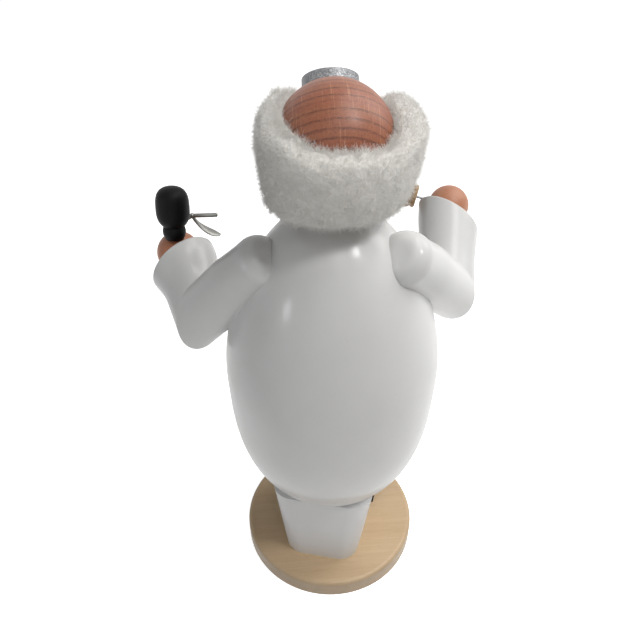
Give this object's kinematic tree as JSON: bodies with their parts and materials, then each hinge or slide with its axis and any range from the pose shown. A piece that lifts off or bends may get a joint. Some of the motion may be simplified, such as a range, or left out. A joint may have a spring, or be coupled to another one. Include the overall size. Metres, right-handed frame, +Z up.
{
  "type": "incense smoker figure",
  "caption": "Turned wooden doctor figure whose hollow coat lifts off a round stand over an incense cone and lets the smoke out at the mouth",
  "frame": {"origin": "centre of the base's underside, on the axis of the stand, the coat's bore and the neck", "axes": "+Z up, the figure's face toward -Y, its left hand toward +X"},
  "size_m": [0.1238, 0.0987, 0.1999],
  "materials": {
    "base_wood": "turned light wood, clear satin varnish",
    "dowel_wood": "raw beech dowel",
    "trouser_paint": "wood with light grey satin lacquer",
    "black_lacquer": "wood with black satin lacquer",
    "bare_wood": "raw turned wood",
    "tin": "thin pressed tin",
    "white_lacquer": "wood with white satin lacquer",
    "tube_wood": "raw turned wood, smoke stained",
    "skin_wood": "stained wood with dark growth rings, clear satin varnish",
    "silver_paint": "wood with speckled silver paint",
    "steel_wire": "thin steel pin",
    "white_fur": "short curly plush fur",
    "silver_metal": "cast metal, lightly polished",
    "horn_wood": "light turned wood, clear varnish"
  },
  "bodies": {
    "stand": {"base_disc": "base_wood", "leg_dowels": "dowel_wood", "trousers": "trouser_paint", "left_shoe": "black_lacquer", "right_shoe": "black_lacquer", "spigot": "bare_wood", "dish_tack": "steel_wire"},
    "dish": {"cone_dish": "tin"},
    "figure": {"coat_body": "white_lacquer", "coat_buttons": "black_lacquer", "neck_tube": "tube_wood", "head": "skin_wood", "nose": "skin_wood", "head_mirror": "silver_paint", "mirror_pin": "steel_wire", "hair": "white_fur", "left_arm_dowel": "dowel_wood", "left_upper_arm": "white_lacquer", "left_forearm": "white_lacquer", "left_hand": "skin_wood", "right_arm_dowel": "dowel_wood", "right_upper_arm": "white_lacquer", "right_forearm": "white_lacquer", "right_hand": "skin_wood", "bulb_pin": "steel_wire", "black_bulb": "black_lacquer", "forceps_shank": "silver_metal", "forceps_spoon": "silver_metal", "horn_wire": "steel_wire", "listening_horn": "horn_wood"}
  },
  "joints": [
    {"name": "figure_turn", "type": "hinge", "parent": "stand", "child": "dish", "pos_m": [0, 0, 0.051], "axis": [0, 0, 1], "continuous": true},
    {"name": "figure_lift", "type": "slide", "parent": "dish", "child": "figure", "axis": [0, 0, 1], "range_m": [0, 0.045]}
  ]
}
